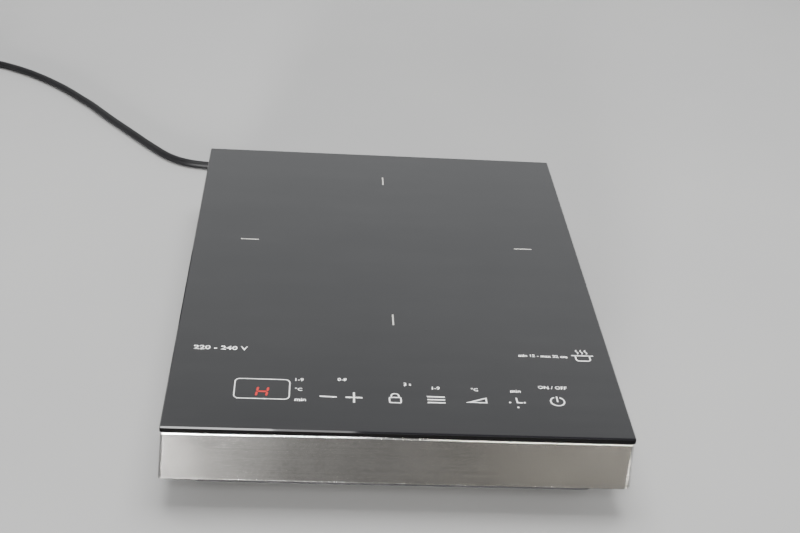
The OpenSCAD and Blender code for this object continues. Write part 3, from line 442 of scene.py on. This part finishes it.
CORD_D = 7.0  # millimetres, as all sizes here
CORD_Z = 3.6  # height of its middle where it lies on the table
RUN = [
    (-105, 181, 13.5), (-105, 196, 13.5), (-105, 210.3, 13.5), (-105, 219, 13.2), (-106, 229, 11.5),
    (-109, 239, 8.5), (-114, 249, 5.5), (-122, 257, 4), (-133, 263.5, CORD_Z),
    (-146, 267, CORD_Z), (-160, 269, CORD_Z), (-173, 272, CORD_Z), (-185, 278, CORD_Z),
    (-196, 287, CORD_Z), (-206, 298, CORD_Z), (-217, 311, CORD_Z), (-229, 326, CORD_Z),
    (-242, 342, CORD_Z), (-255, 358, CORD_Z), (-268, 375, CORD_Z), (-281, 392, CORD_Z),
    (-295, 408, CORD_Z), (-309, 424, CORD_Z), (-324, 439, CORD_Z), (-340, 453, CORD_Z),
    (-357, 466, CORD_Z), (-375, 477, CORD_Z), (-393, 486, CORD_Z), (-412, 492, CORD_Z),
    (-432, 495.5, CORD_Z)]
COIL_AT = (-452.0, 454.0)
COIL_INNER, COIL_OUTER = 35.0, 42.0
COIL_STEP = 15  # degrees between points
COIL_SWEEP = 1170  # degrees wound in all
SHIFT_IN, CLIMB, SHIFT_OUT = 270, 540, 810  # where a turn starts to move in, up, and out again
SHIFT_SWEEP = 90
TAIL = [(-494, 440, 11.5), (-494, 428, 14), (-494, 416, 17), (-494, 404, 18.6), (-494, 399, 18.6)]


def ease(x):
    x = min(max(x, 0.0), 1.0)
    return x * x * (3 - 2 * x)


def coil_point(turned):
    """A point on the wound cord, after this many degrees from where the run meets it."""
    starts = (SHIFT_IN, CLIMB, SHIFT_OUT)
    shift_in, climb, shift_out = (ease((turned - start) / SHIFT_SWEEP) for start in starts)
    radius = COIL_OUTER + (COIL_INNER - COIL_OUTER) * (shift_in - shift_out)
    angle = math.radians(90 + turned)
    x, y = COIL_AT
    return x + radius * math.cos(angle), y + radius * math.sin(angle), CORD_Z + CORD_D * climb


def cord_points():
    wound = [coil_point(COIL_STEP * i) for i in range(COIL_SWEEP // COIL_STEP + 1)]
    return RUN + wound + TAIL


def make_cord(mat):
    data = bpy.data.curves.new("mains_cord", "CURVE")
    data.dimensions = "3D"
    spline = data.splines.new("BEZIER")
    points = cord_points()
    spline.bezier_points.add(len(points) - 1)
    for knot, point in zip(spline.bezier_points, points):
        knot.co = Vector(point) * MM
        knot.handle_left_type = knot.handle_right_type = "AUTO"
    spline.resolution_u = 4
    data.bevel_depth = CORD_D / 2 * MM
    data.bevel_resolution = 5
    data.use_fill_caps = True
    data.materials.append(mat)
    cord = bpy.data.objects.new("mains_cord", data)
    bpy.context.collection.objects.link(cord)
    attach(cord, HOUSING)
    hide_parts("power_cord_run", "power_cord_coil", "power_cord_tail")


# ---------- spring under the sensor ----------


def make_spring(mat):
    """The coil spring under the temperature sensor, a copy of the CAD spring riding on the housing."""
    spring = bpy.data.objects.new("press_spring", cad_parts["sensor_spring"].data.copy())
    bpy.context.collection.objects.link(spring)
    spring.data.materials.clear()
    spring.data.materials.append(mat)
    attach(spring, HOUSING)
    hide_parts("sensor_spring")
    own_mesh(spring)


# ---------- printed marks ----------

INK = 0.03  # thickness of the print, millimetres
GLASS_TOP = cad_box[1][2] / MM
TEXT = 1.0  # nominal size; labels are scaled to their measured size
BOLD = 0.017  # how far the letters' outlines are moved out, as a share of that size
CAP_HEIGHT = 3.0  # of the small labels, millimetres
SIGN_STROKE, TICK_STROKE, HAND_STROKE = 1.2, 1.1, 1.05  # stroke widths, millimetres
ICON_STROKE, FINE_STROKE, OUTLINE_STROKE, WAVE_STROKE = 0.95, 0.9, 0.72, 0.7
DISPLAY = (-103.0, -159.4, -68.6, -139.0)  # left, front, right, back
DISPLAY_R = 3.2
ZONE_AT = (0.0, 37.6)
ZONE_TICK = (97.0, 110.3)
PLUS_AT = (-28.2, -155.6)
PLUS_ARM = 5.3
LOCK_AT = (-2.3, -155.6)
BARS_AT = (23.6, -155.6)
POWER_AT = (101.2, -153.8)
POWER_R = 4.4
CLOCK_AT = (75.2, -156.2)
CLOCK_DOT_R = 0.75
PAN_AT = (125.8, -104.6)
DIGIT_AT = (-85.6, -151.9)
DIGIT_SIZE = (6.4, 9.2)
DIGIT_LEAN = 1.1 / DIGIT_SIZE[1]


def plate(bm, outline):
    """A thin closed solid with this outline, standing on the glass."""
    under = [bm.verts.new((x * MM, y * MM, GLASS_TOP * MM)) for x, y in outline]
    over = [bm.verts.new((x * MM, y * MM, (GLASS_TOP + INK) * MM)) for x, y in outline]
    bm.faces.new(over)
    bm.faces.new(under[::-1])
    for i in range(len(outline)):
        j = (i + 1) % len(outline)
        bm.faces.new((under[i], under[j], over[j], over[i]))


def ribbon(bm, points, width, closed=False):
    """A printed stroke along these points, as one closed solid."""
    count = len(points)
    path = [Vector(p) for p in points]
    rings = []
    for i, here in enumerate(path):
        come = (here - path[i - 1]).normalized() if closed or i > 0 else None
        go = (path[(i + 1) % count] - here).normalized() if closed or i < count - 1 else come
        come = go if come is None else come
        side = Vector((-(come.y + go.y), come.x + go.x)) / (1 + come.dot(go)) * (width / 2)
        corners = [(here + side, GLASS_TOP), (here + side, GLASS_TOP + INK),
                   (here - side, GLASS_TOP + INK), (here - side, GLASS_TOP)]
        rings.append([bm.verts.new((at.x * MM, at.y * MM, z * MM)) for at, z in corners])
    for i in range(count if closed else count - 1):
        a, b = rings[i], rings[(i + 1) % count]
        for k in range(4):
            m = (k + 1) % 4
            bm.faces.new((a[k], a[m], b[m], b[k]))
    if not closed:
        bm.faces.new(rings[0][::-1])
        bm.faces.new(rings[-1])


def arc(centre, radius, start, end, steps=12):
    turns = [math.radians(start + (end - start) * i / steps) for i in range(steps + 1)]
    return [(centre[0] + radius * math.cos(t), centre[1] + radius * math.sin(t)) for t in turns]


def rounded(left, front, right, back, radius):
    return (arc((right - radius, back - radius), radius, 0, 90, 6)
            + arc((left + radius, back - radius), radius, 90, 180, 6)
            + arc((left + radius, front + radius), radius, 180, 270, 6)
            + arc((right - radius, front + radius), radius, 270, 360, 6))


def dot(bm, centre, radius):
    plate(bm, arc(centre, radius, 0, 345, 23))


def make_print(name, bm, mat):
    bmesh.ops.recalc_face_normals(bm, faces=bm.faces[:])
    mesh = bpy.data.meshes.new(name)
    bm.to_mesh(mesh)
    bm.free()
    mesh.materials.append(mat)
    piece = bpy.data.objects.new(name, mesh)
    bpy.context.collection.objects.link(piece)
    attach(piece, HOUSING)


def zone_marks(bm):
    x, y = ZONE_AT
    for turn in range(4):
        c, s = math.cos(math.pi / 2 * turn), math.sin(math.pi / 2 * turn)
        ribbon(bm, [(x + r * c, y + r * s) for r in ZONE_TICK], TICK_STROKE)


def key_marks(bm):
    left, front, right, back = DISPLAY
    ribbon(bm, rounded(left, front, right, back, DISPLAY_R), OUTLINE_STROKE, closed=True)
    ribbon(bm, [(-49.6, -155.3), (-39.0, -155.6)], SIGN_STROKE)
    x, y = PLUS_AT
    ribbon(bm, [(x - PLUS_ARM, y), (x + PLUS_ARM, y)], SIGN_STROKE)
    for way in (-1, 1):
        ribbon(bm, [(x, y + way * SIGN_STROKE / 2), (x, y + way * PLUS_ARM)], SIGN_STROKE)
    x, y = LOCK_AT
    ribbon(bm, rounded(x - 3.6, y - 4.2, x + 3.6, y + 1.2, 0.8), FINE_STROKE, closed=True)
    shackle = [(x - 2.4, y + 1.6)] + arc((x, y + 2.8), 2.4, 180, 0, 10) + [(x + 2.4, y + 1.6)]
    ribbon(bm, shackle, FINE_STROKE)
    x, y = BARS_AT
    for step in (-3, 0, 3):
        ribbon(bm, [(x - 5.6, y + step), (x + 5.6, y + step)], TICK_STROKE)
    ribbon(bm, [(44.5, -157.2), (55.4, -152.6), (55.4, -157.3)], ICON_STROKE, closed=True)
    x, y = CLOCK_AT
    for off in ((-4.8, -0.1), (4.6, 0.1), (-0.1, -4.9)):
        dot(bm, (x + off[0], y + off[1]), CLOCK_DOT_R)
    ribbon(bm, [(x - 0.3, y + 5.0), (x, y), (x + 3.4, y - 0.1)], HAND_STROKE)
    x, y = POWER_AT
    ribbon(bm, arc((x, y), POWER_R, 115, 425, 30), FINE_STROKE)
    ribbon(bm, [(x, y + 5.1), (x, y - 0.6)], ICON_STROKE)


def pan_mark(bm):
    """A saucepan with three waves of heat above it."""
    x, y = PAN_AT
    ribbon(bm, [(x - 4.8, y + 2.2), (x - 4.8, y - 1.6)] + arc((x - 2.8, y - 1.8), 2.0, 180, 270, 5)
           + arc((x + 2.8, y - 1.8), 2.0, 270, 360, 5) + [(x + 4.8, y + 2.2)], ICON_STROKE)
    ribbon(bm, [(x - 7.4, y + 2.2), (x + 7.4, y + 2.2)], ICON_STROKE)
    for way in (-3, 0, 3):
        wave = [(x + way + 0.7 * math.sin(i * math.pi / 4), y + 4.2 + i * 0.56) for i in range(9)]
        ribbon(bm, wave, WAVE_STROKE)


def label(bm, text, left, right, y, height):
    """Words in one line between two ends, with this middle and cap height."""
    curve = bpy.data.curves.new("word", "FONT")
    curve.body = text
    curve.size = TEXT
    curve.resolution_u = 3
    curve.offset = BOLD
    word = bpy.data.objects.new("word", curve)
    bpy.context.collection.objects.link(word)
    flat = bpy.data.meshes.new_from_object(word)
    xs = [v.co.x for v in flat.vertices]
    ys = [v.co.y for v in flat.vertices]
    grow_y = height / max(ys)
    grow_x = (right - left) / (max(xs) - min(xs))
    part = bmesh.new()
    part.from_mesh(flat)
    bmesh.ops.remove_doubles(part, verts=part.verts[:], dist=1e-5)
    for vert in part.verts:
        vert.co = ((left + (vert.co.x - min(xs)) * grow_x) * MM, (y + vert.co.y * grow_y - height / 2) * MM,
                   GLASS_TOP * MM)
    lifted = bmesh.ops.extrude_face_region(part, geom=part.faces[:])["geom"]
    for vert in [g for g in lifted if isinstance(g, bmesh.types.BMVert)]:
        vert.co.z += INK * MM
    part.to_mesh(flat)
    part.free()
    bm.from_mesh(flat)
    bpy.data.objects.remove(word)
    bpy.data.curves.remove(curve)
    bpy.data.meshes.remove(flat)


def word_marks(bm):
    label(bm, "220 - 240 V", -132.2, -97.0, -105.6, 4.3)
    label(bm, "min 12 - max 22 cm", 82.4, 115.2, -104.0, 2.9)
    for text, left, right, y in (
            ("1-9", -65.2, -59.9, -138.4), ("\u00b0C", -65.2, -60.6, -148.6), ("min", -65.2, -58.2, -159.2),
            ("0-9", -38.4, -32.6, -137.0), ("3 s", 3.7, 8.5, -140.0), ("1-9", 21.7, 26.7, -143.3),
            ("\u00b0C", 46.7, 51.1, -143.7), ("min", 72.0, 78.6, -144.2),
            ("ON / OFF", 90.6, 109.4, -139.2)):
        label(bm, text, left, right, y, CAP_HEIGHT)


def digit_bars():
    """Outlines of the lit bars of the figure H: four uprights and the middle bar."""
    w, h = DIGIT_SIZE
    half, gap = 0.72, 0.22
    bars = []
    for side in (-1, 1):
        for end in (-1, 1):
            x = side * w / 2
            near, far = gap * end, (h / 2 - 0.1) * end
            bars.append([(x, near), (x + half, near + half * end), (x + half, far - half * end), (x, far),
                         (x - half, far - half * end), (x - half, near + half * end)])
    reach = w / 2 - gap
    bars.append([(-reach, 0), (-reach + half, half), (reach - half, half), (reach, 0),
                 (reach - half, -half), (-reach + half, -half)])
    return [[(DIGIT_AT[0] + x + y * DIGIT_LEAN, DIGIT_AT[1] + y) for x, y in bar] for bar in bars]


def lit_digit(bm):
    for bar in digit_bars():
        plate(bm, bar)


def make_marks():
    white = ink("print_white", (0.94, 0.94, 0.93))
    grey = ink("print_grey", (0.55, 0.54, 0.51))
    for name, draw, mat in (("zone_marks", zone_marks, grey), ("key_marks", key_marks, white),
                            ("pan_mark", pan_mark, white), ("word_marks", word_marks, white),
                            ("lit_digit", lit_digit, lit_segment())):
        bm = bmesh.new()
        draw(bm)
        make_print(name, bm, mat)


# ---------- stage ----------

def make_floor():
    mesh = bpy.data.meshes.new("floor")
    corners = [(x * FLOOR_HALF, y * FLOOR_HALF, 0) for x, y in ((-1, -1), (1, -1), (1, 1), (-1, 1))]
    mesh.from_pydata(corners, [], [(0, 1, 2, 3)])
    mat, nodes, links, shader = material("floor")
    clouds = noise(nodes, links, surface_coords(nodes, links), 3.0, 4.0)
    feed(links, ramp(nodes, links, clouds, [(0.3, FLOOR_DARK), (0.7, FLOOR_PALE)]), shader, "Base Color")
    settle(shader, Roughness=0.75)
    mesh.materials.append(mat)
    floor = bpy.data.objects.new("floor", mesh)
    bpy.context.collection.objects.link(floor)


make_camera()
make_world()
for light in LIGHTS:
    make_area(*light)
make_floor()
paint_frame()
make_cord(bpy.data.materials["cord_sheath"])
make_spring(bpy.data.materials["zinc"])
make_marks()
